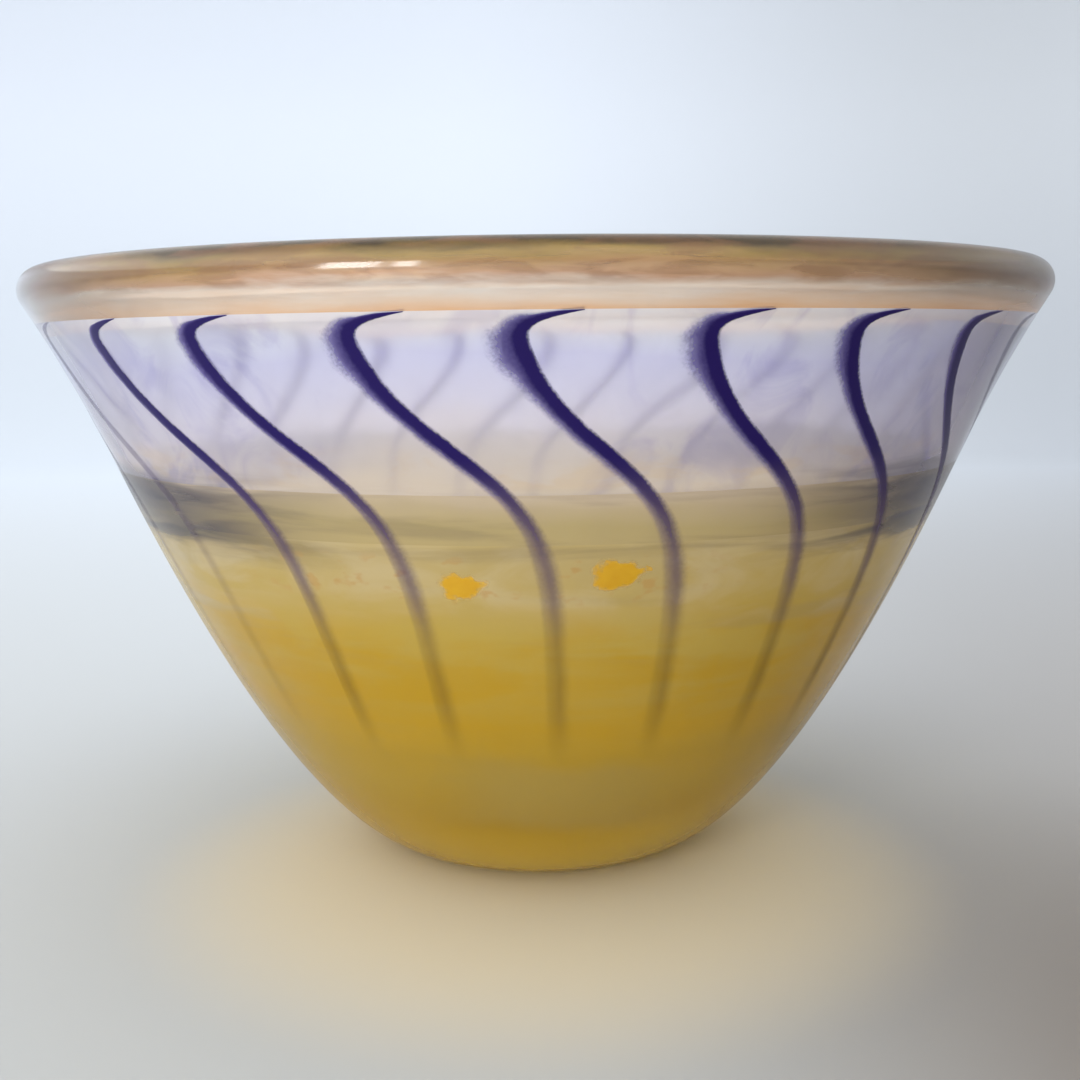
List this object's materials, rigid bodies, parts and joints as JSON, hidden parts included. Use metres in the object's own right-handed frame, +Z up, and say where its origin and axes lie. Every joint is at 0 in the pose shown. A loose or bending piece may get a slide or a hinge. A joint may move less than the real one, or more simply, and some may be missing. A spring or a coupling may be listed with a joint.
{
  "type": "art glass bowl",
  "caption": "Flared blown glass bowl: clear lining cased in yellow, smoky and lilac glass, with a rounded amber lip and inlaid violet threads that hook under the lip.",
  "frame": {"origin": "on the bowl's axis, at the level of the flat base ring that it stands on", "axes": "+Z up along the bowl's axis, out of its mouth; -Y towards the side that the picture shows; +X to the right in the picture"},
  "size_m": [0.15, 0.15, 0.0875],
  "materials": {
    "clear_glass": "gloss",
    "yellow_glass": "gloss",
    "smoky_glass": "gloss",
    "lilac_glass": "gloss",
    "amber_lip_glass": "gloss",
    "violet_glass": "gloss",
    "orange_glass": "gloss"
  },
  "bodies": {
    "root": {"clear_lining": "clear_glass", "yellow_cup": "yellow_glass", "smoky_band": "smoky_glass", "lilac_collar": "lilac_glass", "lip_wrap": "amber_lip_glass", "amber_chip_left": "orange_glass", "amber_chip_right": "orange_glass", "thread_01": "violet_glass", "thread_02": "violet_glass", "thread_03": "violet_glass", "thread_04": "violet_glass", "thread_05": "violet_glass", "thread_06": "violet_glass", "thread_07": "violet_glass", "thread_08": "violet_glass", "thread_09": "violet_glass", "thread_10": "violet_glass", "thread_11": "violet_glass", "thread_12": "violet_glass", "thread_13": "violet_glass", "thread_14": "violet_glass", "thread_15": "violet_glass", "thread_16": "violet_glass", "thread_17": "violet_glass", "thread_18": "violet_glass", "thread_19": "violet_glass", "thread_20": "violet_glass", "thread_21": "violet_glass", "thread_22": "violet_glass", "thread_23": "violet_glass", "thread_24": "violet_glass"}
  },
  "joints": []
}
